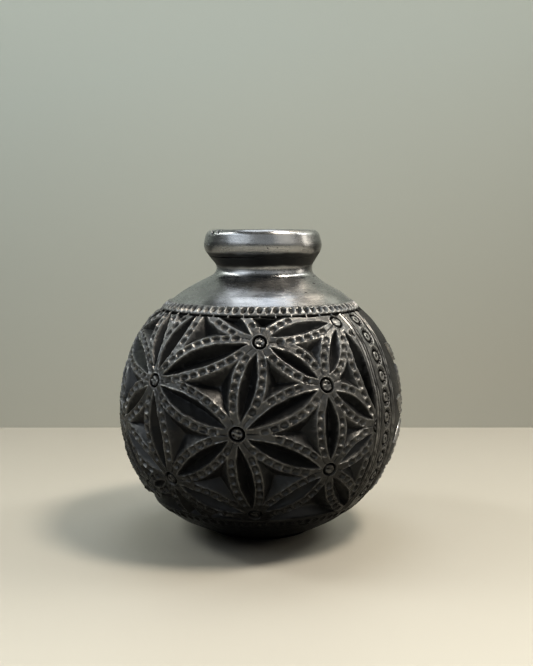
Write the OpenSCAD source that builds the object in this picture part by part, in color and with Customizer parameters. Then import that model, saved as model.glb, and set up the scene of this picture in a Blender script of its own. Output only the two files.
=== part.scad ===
// Round black clay pot with a carved net of stars, luted together from separate pieces of clay.
// Origin: centre of the face the pot stands on. +Z is up, -Y is the front, +X is the side panel.
// An azimuth is counted from the front towards +X; a latitude is counted on the wall's own arc.

/* [Body] */
// Radius of the arc that draws the wall from base to shoulder
arc_r = 55.6; // [55:0.1:56.2]
// How far that arc's centre stands off the axis, which fattens the body
arc_off = 4.4; // [4:0.1:4.8]
// Height of the widest place
belly_z = 53.6; // [53.2:0.1:54]
// Thickness of the wall
wall = 6.5; // [6:0.1:7]
// Radius of the foot where it meets the table
foot_r = 21.5; // [20.5:0.1:22]
// Thickness of the floor
floor_t = 7; // [6.5:0.1:7.5]

/* [Neck and lip] */
// Radius of the round mouth
mouth_r = 14.5; // [14:0.1:15]
// Outer radius at the narrowest place of the neck
throat_r = 20.2; // [20:0.1:20.4]
// Height of the narrowest place of the neck
throat_z = 111.5; // [111.3:0.1:111.7]
// Radius of the hollow that waists the neck
throat_fillet = 3.8; // [3.7:0.1:4]
// Radius of the coil that makes the lip
lip_coil_r = 6; // [5.9:0.05:6.1]
// Radius of the lip's top corners, where the coil was pressed flat
lip_corner_r = 3.5; // [3.3:0.05:3.6]
// Largest radius of the lip
lip_r = 25.1; // [24.8:0.1:25.3]
// Height of the top of the lip
total_h = 127.8; // [127.6:0.1:128]

/* [Carved net] */
// Half the width of a petal's groove at its middle
petal_half_w = 3; // [2.6:0.1:3.6]
// Distance from a star's centre to the tips of its petals
petal_tip = 4.8; // [4.4:0.1:5.4]
// Longest distance between two stars that a petal joins
reach = 45; // [44.8:0.1:45.2]
// Depth of the three-sided pits between the petals
pit_depth = 3; // [2:0.1:3.5]
// Distance from a pit's middle to its corners
pit_corner = 6.6; // [5:0.1:7]
// Outer radius of the ring stamped at the middle of a star
star_ring_r = 2.9; // [2.7:0.1:3.2]
// Width and depth of that ring's groove
star_ring_groove = 0.9; // [0.7:0.1:1]

/* [Cordons] */
// Width of a cordon
cordon_w = 5.6; // [5.2:0.1:5.8]
// Thickness of a cordon
cordon_t = 2.4; // [2.2:0.1:2.6]
// How far a cordon stands proud of the wall
cordon_proud = 0.4; // [0.2:0.05:0.5]
// Latitude of the middle of the upper cordon
upper_cordon_lat = 50.2; // [50:0.1:50.4]
// Latitude of the middle of the lower cordon
lower_cordon_lat = -46.4; // [-46.8:0.1:-46]
// Number of dents pressed into the upper cordon
upper_dents = 82; // [60:1:84]
// Number of dents pressed into the lower cordon
lower_dents = 72; // [60:1:80]

/* [Rosette bands] */
// Width of a rosette band
band_w = 16; // [14:0.1:16.4]
// Thickness of a rosette band
band_t = 1.8; // [1.6:0.1:2]
// How far a rosette band stands proud of the wall
band_proud = 0.3; // [0.2:0.05:0.4]
// Azimuth of the front band; the back band mirrors it about the side panel
band_az = 57; // [56:0.5:58]
// Number of rosettes on a band
rosettes = 10; // [8:1:10]
// Outer radius of a rosette's ring
rosette_r = 2.6; // [2.3:0.1:2.8]

/* [Side panel flower] */
// How far the flower stands proud of the panel
relief_h = 1.2; // [0.8:0.1:1.4]
// Number of petals
flower_petals = 8; // [6:1:8]
// Radius of the flower's tips
flower_r = 24; // [22:0.5:24.5]
// Height of the flower's middle
flower_z = 50; // [49:0.5:54]
// Radius of the boss at the flower's middle
boss_r = 5; // [4.4:0.1:5.4]
// Largest width of a flower's petal
flower_petal_w = 8; // [7:0.1:8.5]
// Length of a leaf
leaf_l = 15; // [13:0.5:15]
// Width of a leaf
leaf_w = 6; // [5:0.1:6.5]

/* [Hidden] */
PETAL_NODES = [for (i = [1 : flower_petals]) str("flower_petal_", i)];
LEAF_NODES = [for (i = [1 : 4]) str("leaf_", i)];

CLAY = "#3c3c3e";
BURNISHED = "#57585c";
STRIP = "#46464a";
RELIEF = "#4e4e52";

// Roundness of the large turned shapes and of the small ones
turned_fn = 180;
round_fn = 64;
small_fn = 32;
// Something clear of the whole pot, and a little overshoot for cutters
far = 90;
over = 1;
// A radius well inside the body, where profiles join up behind the wall
core_r = 30;

// Where the wall gives way to the shoulder, and the shoulder's widest bulge, as [radius, height]
shoulder_low = [38.3, 97.7];
shoulder_mid = [34.2, 100.8];
// Middle of the lip's coil, and of its two top corners
lip_coil = [lip_r - lip_coil_r, 121.3];
lip_corner_z = total_h - lip_corner_r;
lip_corner_out = 20.9;
lip_corner_in = 17.4;
foot_edge = 1.2;
// Middle of the hollow that waists the neck, and the straight flank from there up to the lip's coil
throat = [throat_r + throat_fillet, throat_z];
flank_turn = acos((lip_coil_r + throat_fillet) / norm(throat - lip_coil));
flank_angle = atan2(throat.y - lip_coil.y, throat.x - lip_coil.x) + flank_turn;
flank_out = [cos(flank_angle), sin(flank_angle)];
flank_top = lip_coil + lip_coil_r * flank_out;
flank_foot = throat - throat_fillet * flank_out;
// The shoulder runs into that hollow at this slope
shoulder_lean = 31.5;
shoulder_top = throat - throat_fillet * [sin(shoulder_lean), cos(shoulder_lean)];
// Inside of the shoulder, parallel to its outside
inner_low = [39, 89];
inner_mid = [31, 94.9];
inner_top_z = 104.5;

// Seams between the pieces: where each meets the outside, and how far it climbs on its way in
base_seam_z = 2.6;
base_seam_climb = 6;
base_seam_run = 8.5;
bowl_seam_z = 45.5;
bowl_seam_climb = 4;
shoulder_seam = [[39, 97.2], [30, 83.6]];
neck_seam_z = shoulder_top.y;
lip_seam_z = 116.3;

// The stars of the net as [azimuth, latitude]. They wander as handwork does.
front_stars = [
    [-45, 17], [0, 35], [41, 43], [26, 17], [-8, -1], [50, -2], [27.5, -17],
    [-38, -23], [-2, -39], [52, -44], [-57, -31], [-67, -3], [-90, 33]
];
back_stars = [
    [-103, 9], [-95, -27], [-124, 40], [-136, 1], [-127, -37], [-168.5, 20], [-163, -20],
    [-203, 39], [-196, 0], [-203, -39], [-229, 20], [-228, -20]
];
// Centres that the carver's lines aim at past the cordons: their petals are cut short there
hidden_stars = [
    [-33, 53], [-60, 52], [-28, -61], [-80, -60], [-163, 56], [-110, 62], [-233, 56], [-165, -58]
];
stamped_stars = concat(front_stars, back_stars);
all_stars = concat(stamped_stars, hidden_stars);
bowl_seam_lat = asin((bowl_seam_z - belly_z) / arc_r);
// Latitudes between which the net is carved, and how close to them a cut's stars make it run past
net_top_lat = 46.6;
net_bottom_lat = -43.4;
near_border_lat = 36;
// How far a pit's cutter is drawn out beyond its corners
pit_overshoot = 1.35;

// The modelling tool's round end and how deep it is pressed into a cordon
dent_tool_r = 1.5;
dent_depth = 0.8;
// Rosettes: the top one's latitude and the step to the next, and the ring's groove
top_rosette_lat = 42.9;
rosette_step = 8.6;
rosette_groove_w = 0.8;
rosette_groove_d = 0.5;
// Gap between the boss and the flower's petals; where a leaf starts from the flower's middle; its lean
flower_gap = 0.6;
leaf_start = [3, flower_r - 1.5];
leaf_lean = 34;
// Latitude that the flower stays within
relief_lat = 40;

// A point under the wall's outside at a depth, and the wall's outward normal at a point
function on_wall(star, depth = 0) =
    let (r = arc_off + (arc_r - depth) * cos(star[1]))
    [r * sin(star[0]), -r * cos(star[0]), belly_z + (arc_r - depth) * sin(star[1])];
function unit(v) = v / norm(v);
function out_of_wall(p) =
    let (r = norm([p.x, p.y]), k = 1 - arc_off / r)
    unit([p.x * k, p.y * k, p.z - belly_z]);
function foot_on_axis_ring(p) =
    let (r = norm([p.x, p.y]))
    [p.x * arc_off / r, p.y * arc_off / r, belly_z];
function to_wall(p) = foot_on_axis_ring(p) + arc_r * out_of_wall(p);
function latitude(p) = asin(out_of_wall(p).z);
// Two stars share a petal when they are near enough and the petal's middle is inside the net
function linked(a, b) =
    let (pa = on_wall(a), pb = on_wall(b), lat = latitude((pa + pb) / 2))
    norm(pa - pb) < reach && lat < net_top_lat && lat > net_bottom_lat;

LINKS = [
    for (i = [0 : len(all_stars) - 2], j = [i + 1 : len(all_stars) - 1])
        if (linked(all_stars[i], all_stars[j])) [all_stars[i], all_stars[j]]
];
PITS = [
    for (i = [0 : len(all_stars) - 3], j = [i + 1 : len(all_stars) - 2])
        if (linked(all_stars[i], all_stars[j]))
            for (k = [j + 1 : len(all_stars) - 1])
                if (linked(all_stars[i], all_stars[k]) && linked(all_stars[j], all_stars[k]))
                    [all_stars[i], all_stars[j], all_stars[k]]
];

NET_CUTS = concat([for (star = stamped_stars) [star]], LINKS, PITS);
LOWER_CUTS = [for (cut = NET_CUTS) if (in_bowl(cut, false)) cut];
UPPER_CUTS = [for (cut = NET_CUTS) if (in_bowl(cut, true)) cut];

// ---- Profiles, drawn as radius across and height up ----

module body_profile() {
    intersection() {
        translate([arc_off, belly_z]) circle(r = arc_r, $fn = turned_fn);
        square([far, shoulder_low[1]]);
    }
    square([arc_off, shoulder_low[1]]);
    square([foot_r, floor_t]);
    translate([foot_r, foot_edge]) circle(r = foot_edge, $fn = small_fn);
    polygon([
        [0, belly_z], [core_r, belly_z], shoulder_low, shoulder_mid, shoulder_top, [0, shoulder_top.y]
    ]);
}

module neck_profile() {
    difference() {
        union() {
            square([shoulder_top[0], throat_z]);
            polygon([[0, belly_z], [throat_r + 1, belly_z], flank_foot, flank_top, [0, flank_top.y]]);
        }
        translate(throat) circle(r = throat_fillet, $fn = round_fn);
    }
    square([throat_r, lip_coil.y]);
    hull() {
        translate(lip_coil) circle(r = lip_coil_r, $fn = round_fn);
        translate([lip_corner_out, lip_corner_z]) circle(r = lip_corner_r, $fn = round_fn);
        translate([lip_corner_in, lip_corner_z]) circle(r = lip_corner_r, $fn = round_fn);
    }
}

module cavity_profile() {
    intersection() {
        translate([arc_off, belly_z]) circle(r = arc_r - wall, $fn = turned_fn);
        translate([0, floor_t]) square([far, inner_low[1] - floor_t]);
    }
    translate([0, floor_t]) square([arc_off, inner_low[1] - floor_t]);
    polygon([
        [0, belly_z], [core_r, belly_z], inner_low, inner_mid, [mouth_r, inner_top_z], [0, inner_top_z]
    ]);
    square_from_axis(mouth_r, belly_z, total_h + over);
}

module square_from_axis(r, z0, z1) {
    translate([0, z0]) square([r, z1 - z0]);
}

module wall_profile() {
    difference() {
        union() {
            body_profile();
            neck_profile();
        }
        cavity_profile();
    }
}

// The side of a seam that lies below it: the seam leaves the wall at z and climbs towards the axis
module below_seam(z, climb, run) {
    r = arc_off + sqrt(arc_r * arc_r - (z - belly_z) * (z - belly_z));
    slope = climb / run;
    polygon([[0, -far], [far, -far], [far, z - slope * (far - r)], [0, z + slope * r]]);
}

module below_base_seam() {
    below_seam(base_seam_z, base_seam_climb, base_seam_run);
}

module below_bowl_seam() {
    below_seam(bowl_seam_z, bowl_seam_climb, wall);
}

module below_shoulder_seam() {
    polygon([
        [0, -over], [far, -over], [far, shoulder_seam[0].y],
        shoulder_seam[0], shoulder_seam[1], [0, belly_z]
    ]);
}

// The cordons' section, a strip with rounded edges let into the wall
module cordon_section(lat) {
    translate([arc_off, belly_z])
        rotate(lat)
            translate([arc_r + cordon_proud - cordon_t, 0])
                difference() {
                    translate([0, -cordon_w / 2]) square([cordon_t, cordon_w]);
                    for (side = [-1, 1])
                        translate([cordon_t, side * cordon_w / 2])
                            rotate(45) square(1, center = true);
                }
}

// ---- Turned solids ----

module turn() {
    rotate_extrude($fn = turned_fn) children();
}

module cordon_ring(lat) {
    turn() cordon_section(lat);
}

// The space between two arcs parallel to the wall, from one latitude to the other
module wall_shell(r0, r1, lat0, lat1) {
    turn()
        intersection() {
            difference() {
                translate([arc_off, belly_z]) circle(r = r1, $fn = turned_fn);
                translate([arc_off, belly_z]) circle(r = r0, $fn = turned_fn);
            }
            translate([arc_off, belly_z])
                polygon(far * [[0, 0], [cos(lat0), sin(lat0)], [1.5, 0], [cos(lat1), sin(lat1)]]);
        }
}

// ---- Carving ----

// Puts its children on the wall at p, with local X along dir and local Z out of the wall
module place_on_wall(p, dir) {
    n = out_of_wall(p);
    t = unit(cross(n, dir));
    u = cross(t, n);
    multmatrix([
        [u.x, t.x, n.x, p.x],
        [u.y, t.y, n.y, p.y],
        [u.z, t.z, n.z, p.z],
        [0, 0, 0, 1]
    ]) children();
}

// One petal: a V-shaped cut whose bottom edge runs straight from tip to tip under the round wall
module petal_cut(a, b) {
    pa = on_wall(a);
    pb = on_wall(b);
    tip_a = to_wall(pa + petal_tip * unit(pb - pa));
    tip_b = to_wall(pb + petal_tip * unit(pa - pb));
    middle = (tip_a + tip_b) / 2;
    length = norm(tip_b - tip_a);
    depth = norm(to_wall(middle) - middle);
    rise = depth + over;
    spread = petal_half_w / depth * rise;
    place_on_wall(middle, tip_b - tip_a)
        rotate([90, 0, 90])
            translate([0, 0, -length / 2])
                linear_extrude(height = length)
                    polygon([[0, 0], [spread, rise], [-spread, rise]]);
}

// One pit: three flat cuts that meet in a deepest point
module pit_cut(a, b, c) {
    pa = on_wall(a);
    pb = on_wall(b);
    pc = on_wall(c);
    middle = to_wall((pa + pb + pc) / 3);
    bottom = middle - pit_depth * out_of_wall(middle);
    corners = [for (p = [pa, pb, pc]) to_wall(middle + pit_corner * unit(p - middle))];
    raised = [for (q = corners) bottom + pit_overshoot * (q - bottom)];
    turned_right = cross(raised[1] - raised[0], raised[2] - raised[0]) * (bottom - raised[0]) < 0;
    polyhedron(
        points = [raised[0], raised[turned_right ? 1 : 2], raised[turned_right ? 2 : 1], bottom],
        faces = [[2, 1, 0], [0, 1, 3], [1, 2, 3], [2, 0, 3]]
    );
}

// A ring stamped with a hollow reed
module stamp_ring(star, outer_r, groove, sink) {
    place_on_wall(on_wall(star, sink), [0, 0, 1])
        difference() {
            cylinder(r = outer_r, h = sink + over, $fn = small_fn);
            translate([0, 0, -over]) cylinder(r = outer_r - groove, h = sink + 3 * over, $fn = small_fn);
        }
}

// Whether what is carved between some stars reaches into the upper or the lower bowl
function in_bowl(stars, upper) =
    let (lats = [for (s = stars) s[1]])
    upper ? max(lats) > bowl_seam_lat : min(lats) < bowl_seam_lat;

// A cut near a cordon ends at the net's border
module end_at_border(stars) {
    lats = [for (s = stars) s[1]];
    if (max(lats) > near_border_lat || min(lats) < -near_border_lat)
        intersection() {
            children();
            net_zone();
        }
    else
        children();
}

// What is carved between some stars: a ring on one star, a petal between two, a pit between three
module net_cut(stars) {
    if (len(stars) == 1) stamp_ring(stars[0], star_ring_r, star_ring_groove, star_ring_groove);
    if (len(stars) == 2) end_at_border(stars) petal_cut(stars[0], stars[1]);
    if (len(stars) == 3) end_at_border(stars) pit_cut(stars[0], stars[1], stars[2]);
}

// Its children once the first so many cuts have been made in them, one after another
module carve(cuts, count) {
    if (count == 0)
        children();
    else
        difference() {
            carve(cuts, count - 1) children();
            net_cut(cuts[count - 1]);
        }
}

module net_zone() {
    wall_shell(arc_r - wall, arc_r + over, net_bottom_lat, net_top_lat);
}

// ---- Rosette bands ----

module band_slab(az) {
    rotate([0, 0, az])
        translate([-band_w / 2, -far, 0])
            cube([band_w, far, total_h]);
}

module band_solid(az) {
    intersection() {
        wall_shell(arc_r + band_proud - band_t, arc_r + band_proud, net_bottom_lat, net_top_lat);
        band_slab(az);
    }
}

module band_pocket(az) {
    intersection() {
        wall_shell(arc_r + band_proud - band_t, arc_r + 2 * over, net_bottom_lat, net_top_lat);
        band_slab(az);
    }
}

module rosette_band(az) {
    difference() {
        band_solid(az);
        for (i = [0 : rosettes - 1])
            stamp_ring(
                [az, top_rosette_lat - rosette_step * i], rosette_r, rosette_groove_w, rosette_groove_d
            );
    }
}

// ---- Pieces ----

module base_disc() color(BURNISHED)
    turn()
        intersection() {
            wall_profile();
            below_base_seam();
        }

module lower_bowl() color(CLAY)
    carve(LOWER_CUTS, len(LOWER_CUTS))
        difference() {
            turn()
                difference() {
                    intersection() {
                        wall_profile();
                        below_bowl_seam();
                    }
                    below_base_seam();
                    cordon_section(lower_cordon_lat);
                }
            band_pocket(band_az);
            band_pocket(180 - band_az);
        }

module upper_bowl() color(CLAY)
    carve(UPPER_CUTS, len(UPPER_CUTS))
        difference() {
            turn()
                difference() {
                    intersection() {
                        wall_profile();
                        below_shoulder_seam();
                    }
                    below_bowl_seam();
                    cordon_section(upper_cordon_lat);
                }
            band_pocket(band_az);
            band_pocket(180 - band_az);
        }

module shoulder() color(BURNISHED)
    turn()
        difference() {
            wall_profile();
            below_shoulder_seam();
            square_from_axis(far, neck_seam_z, total_h + over);
            cordon_section(upper_cordon_lat);
        }

module neck() color(BURNISHED)
    turn()
        intersection() {
            wall_profile();
            square_from_axis(far, neck_seam_z, lip_seam_z);
        }

module lip() color(BURNISHED)
    turn()
        intersection() {
            wall_profile();
            square_from_axis(far, lip_seam_z, total_h + over);
        }

module cordon(lat, dents) {
    difference() {
        cordon_ring(lat);
        for (i = [0 : dents - 1])
            translate(on_wall([i * 360 / dents, lat], dent_depth - cordon_proud - dent_tool_r))
                sphere(r = dent_tool_r, $fn = small_fn);
    }
}

module upper_cordon() color(STRIP)
    cordon(upper_cordon_lat, upper_dents);

module lower_cordon() color(STRIP)
    cordon(lower_cordon_lat, lower_dents);

module rosette_band_front() color(STRIP)
    rosette_band(band_az);

module rosette_band_back() color(STRIP)
    rosette_band(180 - band_az);

// ---- Flower on the side panel: pads that lie on the wall, cut out along +X ----

// A pad whose outline is its children, drawn with the panel's +Y across and +Z up
module pad() {
    intersection() {
        wall_shell(arc_r, arc_r + relief_h, -relief_lat, relief_lat);
        translate([0, 0, flower_z])
            rotate([90, 0, 90])
                linear_extrude(height = far)
                    children();
    }
}

// A leaf shape of a length and a width, pointed at both ends, starting at the origin along +X
module leaf_outline(length, width) {
    bow = (length * length / 4 + width * width / 4) / width;
    translate([length / 2, 0])
        intersection() {
            translate([0, bow - width / 2]) circle(r = bow, $fn = round_fn);
            translate([0, width / 2 - bow]) circle(r = bow, $fn = round_fn);
        }
}

module flower_boss() color(RELIEF)
    pad() circle(r = boss_r, $fn = round_fn);

module flower_petal(i) color(RELIEF)
    pad()
        rotate((i - 0.5) * 360 / flower_petals)
            translate([boss_r + flower_gap, 0])
                leaf_outline(flower_r - boss_r - flower_gap, flower_petal_w);

module leaf(i) color(RELIEF)
    pad()
        mirror([i > 2 ? 1 : 0, 0])
            mirror([0, i % 2])
                translate(leaf_start)
                    rotate(leaf_lean)
                        leaf_outline(leaf_l, leaf_w);

base_disc();
lower_bowl();
upper_bowl();
shoulder();
neck();
lip();
upper_cordon();
lower_cordon();
rosette_band_front();
rosette_band_back();
flower_boss();
for (i = [1 : flower_petals]) flower_petal(i);
for (i = [1 : 4]) leaf(i);
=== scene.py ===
"""Black clay pot with a chip-carved net of stars, in a plain studio. Shapes are given in millimetres."""

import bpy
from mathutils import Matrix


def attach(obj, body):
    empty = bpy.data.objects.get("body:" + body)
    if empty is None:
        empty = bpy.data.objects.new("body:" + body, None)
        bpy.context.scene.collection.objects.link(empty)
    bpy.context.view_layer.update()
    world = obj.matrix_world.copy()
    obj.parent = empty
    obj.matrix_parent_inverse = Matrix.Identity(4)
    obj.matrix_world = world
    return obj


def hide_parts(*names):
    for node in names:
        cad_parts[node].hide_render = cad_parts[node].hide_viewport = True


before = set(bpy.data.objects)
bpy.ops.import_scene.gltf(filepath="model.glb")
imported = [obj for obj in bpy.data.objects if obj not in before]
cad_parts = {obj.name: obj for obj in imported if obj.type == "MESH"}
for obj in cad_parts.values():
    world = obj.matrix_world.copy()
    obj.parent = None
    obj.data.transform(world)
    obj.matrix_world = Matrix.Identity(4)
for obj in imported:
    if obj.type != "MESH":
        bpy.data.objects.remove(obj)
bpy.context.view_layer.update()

import math

import bpy
import numpy as np
from mathutils import Vector

MM = 0.001
TAU = 2 * math.pi
FAR = 40.0  # a distance that stands for nowhere near
WAVES = 7                 # waves in a noise
WAVES_PEAK = 2.6  # about the most that they add up to

# ---- The wall's own arc, as in the CAD model ----
ARC_R = 55.6
ARC_OFF = 4.4
BELLY_Z = 53.6
WALL = 6.5
BOWL_SEAM_Z = 45.5
BASE_SEAM_Z = 2.6
SHOULDER_SEAM_Z = 97.2
BASE_LAT = math.asin((BASE_SEAM_Z - BELLY_Z) / ARC_R)
# How far the seams climb on their way through the wall
BASE_SEAM_CLIMB = 4.4
BOWL_SEAM_CLIMB = 4.0
SHOULDER_SEAM_CLIMB = -5.51

# ---- How the hand-built wall stands off that arc ----
DRAWN_IN = 0.1
DRAWN_IN_WIDEST = 0.58  # more of it where the wall is widest along the axes
FULLER_HIGH = 0.7  # fuller under the shoulder, over these latitudes, but less beside the cordon
HIGH_RISE = (math.radians(18), math.radians(34))
HIGH_FALL = (math.radians(40), math.radians(48))
FULLER_LOW = 2.0  # fuller low on the left, round this azimuth and latitude
LOW_LEFT = (math.radians(-100), math.radians(-42))

# ---- The cordons let into it ----
CORDON_W = 5.6
CORDON_PROUD = 0.4
CORDON_TOP_LAT = math.radians(50.2)
CORDON_LOW_LAT = math.radians(-46.4)
# Lower edge of each cordon, from its middle: the scored line takes some of the upper one's width
CORDON_TOP_FOOT = -2.1
CORDON_LOW_FOOT = -CORDON_W / 2
CORDON_T = 1.75
CORDON_SEAT = 1.8  # depth of the seat in the wall
# Their dents: how many, half the length, half the width, the depth and the slant
CORDON_TOP_DENTS = (82, 1.9, 1.15, 1.1, 0.12)
CORDON_LOW_DENTS = (72, 1.7, 1.3, 0.8, 0.0)

# ---- The ticked line scored under the upper cordon ----
TICK_LINE_LAT = math.radians(47.35)
TICK_LINE_R = ARC_OFF + ARC_R * math.cos(TICK_LINE_LAT)
TICKS = 43
LINE_DEEP = 0.9

# ---- Fineness of the grids ----
GRID_STEP = 0.29
GRID_COLUMNS = 1300
BOWL_TRIANGLES = 194000
INNER_ROWS = 24
TURNED_COLUMNS = 720
CORDON_ROWS = 25
DENT_COLUMNS = 16
BAND_GRID = (90, 480)
PAD_GRID = (84, 34)

# ---- The carved net ----
NET_TOP = math.radians(46.6)
NET_BOTTOM = math.radians(-43.4)
NET_MARGIN = 0.02  # latitude kept clear of dents along those borders
REACH = 45.0
PETAL_TIP = 4.3
PETAL_WIDTH = 0.078  # half a petal's width as a share of the distance between its stars
PETAL_SLOPE = 1.15  # depth of a petal's valley as a share of its half width
RIB_W = 3.8
STAR_LAND_R = 6.4  # the uncut land round a star
PIT_SLOPE = 1.0
PIT_DEEPEST = 4.5
PIT_CRISP = 3.4  # how abruptly a pit's slope ends at its deepest
BURR_W = 0.26
BURR_OFF = 0.34  # from the cut edge to the burr that it raised
BURR_H = 0.27
SEAM_DEEP = 0.42  # the scored line where two ribs meet
RING_R = 2.45
RING_DEEP = 0.95

# ---- The dents along the ribs ----
DENT_PITCH = 3.6
DENT_DEEP = (0.55, 0.9)
DENT_LONG = (1.45, 1.7)
DENT_WIDE = (1.1, 1.35)
DENT_APART = 2.9
DENT_FIRST = 2.6  # least distances from a petal's two tips, a ring, a groove and the bands
DENT_LAST = 2.0
DENT_TO_RING = 2.6
DENT_TO_GROOVE = 1.0
DENT_TO_BAND = 1.0

# ---- The rosette bands' place ----
BAND_AZ = math.radians(57)
BAND_HALF = 8.0
BAND_SEAT = 1.7

# Stars as (azimuth, latitude) in degrees: they wander as handwork does
STARS = [
    (-45, 17), (0, 35), (41, 43), (26, 17), (-8, -1), (50, -2), (27.5, -17),
    (-38, -23), (-2, -39), (52, -44), (-57, -31), (-67, -3), (-90, 33),
    (-103, 9), (-95, -27), (-124, 40), (-136, 1), (-127, -37), (-168.5, 20), (-163, -20),
    (-203, 39), (-196, 0), (-203, -39), (-229, 20), (-228, -20),
]
# Centres past the cordons: their petals are cut short at the net's border
HIDDEN_STARS = [
    (-33, 53), (-60, 52), (-28, -61), (-80, -60), (-163, 56), (-110, 62), (-233, 56), (-165, -58),
]


# ---- Small maths ----

def soft_noise(points, wavelength, seed):
    """Smooth noise of about -1 to 1 at points [..., 3], as a sum of waves in random directions."""
    rng = np.random.default_rng(seed)
    total = np.zeros(points.shape[:-1])
    for _ in range(WAVES):
        direction = rng.normal(size=3)
        direction /= np.linalg.norm(direction)
        length = wavelength * rng.uniform(0.7, 1.5)
        total += np.sin(points @ direction * (TAU / length) + rng.uniform(0, TAU))
    return total / WAVES_PEAK


def smooth(edge0, edge1, x):
    """0 at edge0 and 1 at edge1, with a smooth ramp between."""
    t = np.clip((x - edge0) / (edge1 - edge0), 0, 1)
    return t * t * (3 - 2 * t)


def bell(x, width):
    """1 at zero, falling away to both sides."""
    return np.exp(-(x / width) ** 2)


def round_point(r, az, z):
    return np.stack([r * np.sin(az), -r * np.cos(az), z], -1)


def wall_normal(az, lat):
    """The direction straight out of the wall."""
    return round_point(np.cos(lat), az, np.sin(lat))


def wall_point(az, lat, height=0.0):
    """A point on the wall, or that far outside it."""
    r = ARC_OFF + (ARC_R + height) * np.cos(lat)
    z = BELLY_Z + (ARC_R + height) * np.sin(lat)
    return round_point(r, az, z)


def wall_angles(p):
    """Azimuth and latitude of points."""
    r = np.hypot(p[..., 0], p[..., 1])
    return np.arctan2(p[..., 0], -p[..., 1]), np.arctan2(p[..., 2] - BELLY_Z, r - ARC_OFF)


def latitude_at(z):
    return math.asin((z - BELLY_Z) / ARC_R)


def swell(az, lat):
    """How far the hand-built wall stands off its true arc: drawn in where it is widest along the axes,
    so that rims stay inside the CAD's box, and fuller under the shoulder and low on the left."""
    normal = wall_normal(az, lat)
    widest = np.maximum(np.abs(normal[..., 0]), np.abs(normal[..., 1]))
    drawn_in = DRAWN_IN + DRAWN_IN_WIDEST * bell(np.arccos(np.clip(widest, -1, 1)), 0.3)
    high = FULLER_HIGH * smooth(*HIGH_RISE, lat)
    high = high * (1 - 0.6 * smooth(*HIGH_FALL, lat))
    low = FULLER_LOW * bell(np.arccos(np.clip(normal @ wall_normal(*LOW_LEFT), -1, 1)), 0.5)
    return high + low * smooth(BASE_LAT, BASE_LAT + 0.2, lat) - drawn_in


# ---- Mesh builders ----

def new_mesh(name, points, faces):
    """A mesh of points in millimetres and faces that all have as many corners."""
    mesh = bpy.data.meshes.new(name)
    mesh.vertices.add(len(points))
    mesh.vertices.foreach_set("co", (points * MM).astype(np.float32).ravel())
    mesh.loops.add(faces.size)
    mesh.loops.foreach_set("vertex_index", faces.ravel().astype(np.int32))
    mesh.polygons.add(len(faces))
    mesh.polygons.foreach_set("loop_start", np.arange(0, faces.size, faces.shape[1], dtype=np.int32))
    mesh.update(calc_edges=True)
    mesh.validate()
    return mesh


def add_object(name, data):
    obj = bpy.data.objects.new(name, data)
    bpy.context.scene.collection.objects.link(obj)
    return obj


def add_piece(name, mesh, material, nodes, sharp):
    """The visual piece for CAD nodes, smooth but for edges sharper than that many degrees."""
    obj = add_object(name, mesh)
    mesh.materials.append(material)
    mesh.polygons.foreach_set("use_smooth", np.ones(len(mesh.polygons), dtype=bool))
    mesh.set_sharp_from_angle(angle=math.radians(sharp))
    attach(obj, "root")
    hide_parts(*nodes)


def quads(index):
    """Quads between neighbouring rows and columns of a grid of point numbers."""
    return np.stack([index[:-1, :-1], index[:-1, 1:], index[1:, 1:], index[1:, :-1]], -1).reshape(-1, 4)


def ring_faces(rows, columns):
    """Quads over a grid closed in both directions."""
    index = np.arange(rows * columns).reshape(rows, columns)
    index = np.vstack([index, index[:1]])
    return quads(np.hstack([index, index[:, :1]]))


def slab_mesh(name, top, bottom):
    """A closed solid between two grids of points [row, column, xyz]."""
    rows, columns = top.shape[:2]
    up = np.arange(rows * columns).reshape(rows, columns)
    down = up + rows * columns
    faces = [quads(up), quads(down[:, ::-1])]
    rim_up = np.concatenate([up[0, :-1], up[:-1, -1], up[-1, :0:-1], up[:0:-1, 0]])
    rim_down = rim_up + rows * columns
    faces.append(np.stack([rim_up, rim_down, np.roll(rim_down, -1), np.roll(rim_up, -1)], -1))
    points = np.concatenate([top.reshape(-1, 3), bottom.reshape(-1, 3)])
    return new_mesh(name, points, np.concatenate(faces))


def thin_out(mesh, target):
    """The same mesh with about that many triangles, the fewest where it is flattest."""
    obj = add_object("thinning", mesh)
    modifier = obj.modifiers.new("thin", "DECIMATE")
    modifier.ratio = min(1.0, target / (2 * len(mesh.polygons)))
    graph = bpy.context.evaluated_depsgraph_get()
    thinned = bpy.data.meshes.new_from_object(obj.evaluated_get(graph))
    name = mesh.name
    bpy.data.objects.remove(obj)
    bpy.data.meshes.remove(mesh)
    thinned.name = name
    return thinned


def set_attribute(mesh, name, values):
    mesh.attributes.new(name, "FLOAT", "POINT").data.foreach_set("value", values.astype(np.float32))


# ---- The net's rule ----

ALL_STAR_POINTS = np.array([wall_point(*np.radians(star)) for star in STARS + HIDDEN_STARS])
STAR_POINTS = ALL_STAR_POINTS[:len(STARS)]


def net_links():
    """Pairs of stars that share a petal: near each other, with the petal's middle inside the net."""
    links = []
    for i, a in enumerate(ALL_STAR_POINTS):
        for b in ALL_STAR_POINTS[i + 1:]:
            lat = wall_angles((a + b) / 2)[1]
            if np.linalg.norm(a - b) < REACH and NET_BOTTOM < lat < NET_TOP:
                links.append((a, b))
    return links


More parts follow.
